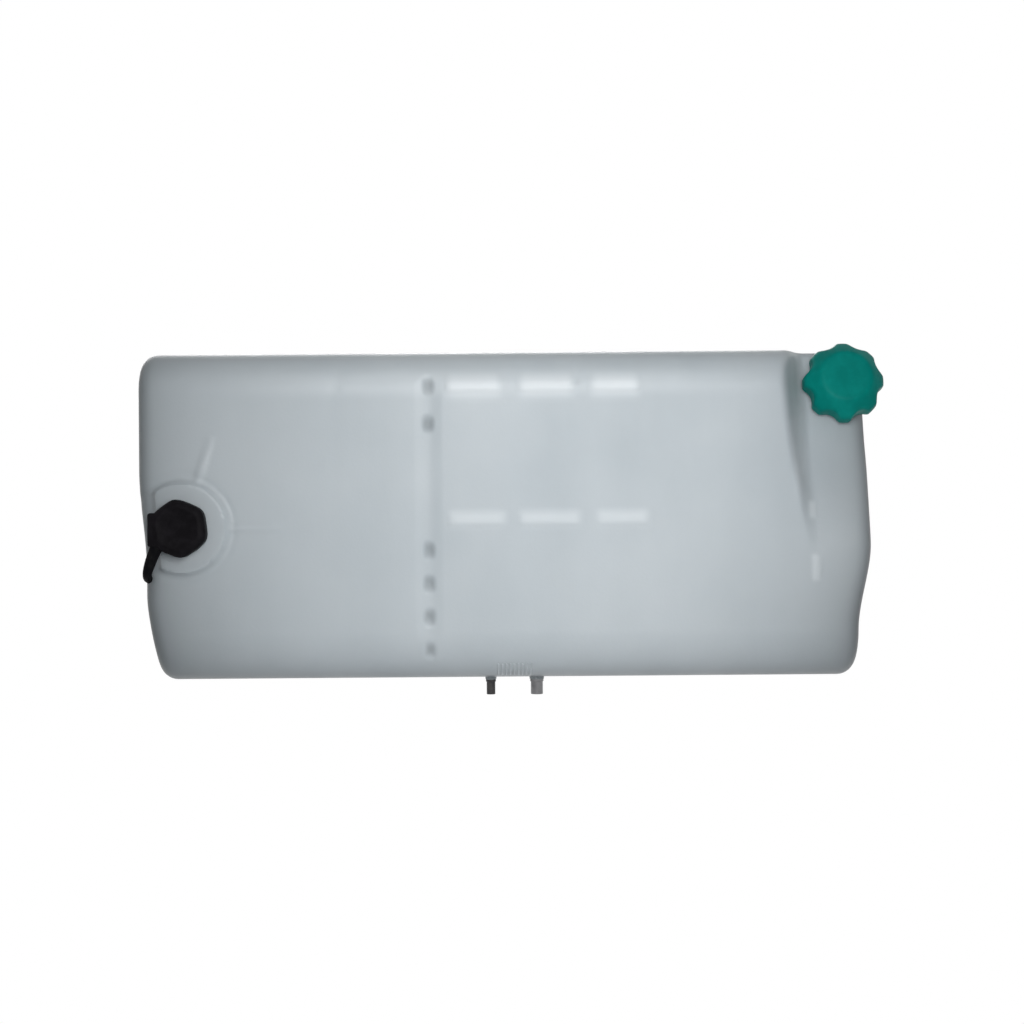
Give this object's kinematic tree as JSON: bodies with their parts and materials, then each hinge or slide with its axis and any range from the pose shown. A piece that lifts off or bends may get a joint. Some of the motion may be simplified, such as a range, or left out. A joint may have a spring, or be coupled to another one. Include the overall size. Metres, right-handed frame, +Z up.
{
  "type": "coolant tank",
  "caption": "Long milky plastic coolant expansion tank with a teal screw cap on a sunken ramp, a hex-headed float level sensor and hose nipples underneath",
  "frame": {"origin": "middle of the four rear mounting inserts, on the plane of their faces", "axes": "+X to the right as seen from the front, along the tank's length; +Y to the rear, out of the mounting faces; +Z up"},
  "size_m": [0.6398, 0.152, 0.3041],
  "materials": {
    "milky_plastic": "translucent blown plastic",
    "teal_plastic": "moulded",
    "black_plastic": "moulded",
    "pipe_plastic": "moulded",
    "float_foam": "closed-cell foam",
    "rubber": "moulded",
    "lead_rubber": "moulded",
    "brass": "turned",
    "steel": "plated",
    "dark_steel": "blackened",
    "magnet": "sintered",
    "reed_glass": "clear"
  },
  "bodies": {
    "tank": {"tank_body": "milky_plastic", "mounting_inserts": "brass", "vent_nipple": "dark_steel", "makeup_nipple": "steel", "vent_standpipe": "pipe_plastic", "sensor_body": "black_plastic", "sensor_seal": "rubber", "reed_switch": "reed_glass", "float_pin": "steel", "sensor_lead": "lead_rubber", "lead_plug": "black_plastic", "plug_terminals": "brass"},
    "cap_insert": {"valve_carrier": "black_plastic", "cap_gasket": "rubber", "valve_seat": "black_plastic", "pressure_spring": "steel"},
    "cap": {"cap_shell": "teal_plastic"},
    "valve_plate": {"pressure_plate": "steel", "pressure_seal": "rubber", "vacuum_spring": "steel"},
    "vacuum_poppet": {"vacuum_valve": "brass"},
    "float": {"sensor_float": "float_foam", "float_magnet": "magnet"}
  },
  "joints": [
    {"name": "cap_lift", "type": "slide", "parent": "tank", "child": "cap_insert", "axis": [0, -0.9681, 0.2504], "range_m": [0, 0.0151]},
    {"name": "cap_turn", "type": "hinge", "parent": "cap_insert", "child": "cap", "pos_m": [0.291, -0.08145, 0.108], "axis": [0, -0.9681, 0.2504], "range_deg": [0, 900]},
    {"name": "pressure_valve", "type": "slide", "parent": "cap_insert", "child": "valve_plate", "axis": [0, -0.9681, 0.2504], "range_m": [0, 0.003], "stiffness_N_per_m": 2000, "springref_m": -0.0075, "deforming": ["pressure_spring"]},
    {"name": "vacuum_relief", "type": "slide", "parent": "valve_plate", "child": "vacuum_poppet", "axis": [0, 0.9681, -0.2504], "range_m": [0, 0.002], "stiffness_N_per_m": 100, "springref_m": -0.004, "deforming": ["vacuum_spring"]},
    {"name": "float_swing", "type": "hinge", "parent": "tank", "child": "float", "pos_m": [-0.267, -0.09, -0.011], "axis": [1, 0, 0], "range_deg": [0, 45]}
  ],
  "couplings": [
    {"joint": "cap_lift", "follows": "cap_turn", "m_per_rad": 0.00095493}
  ]
}
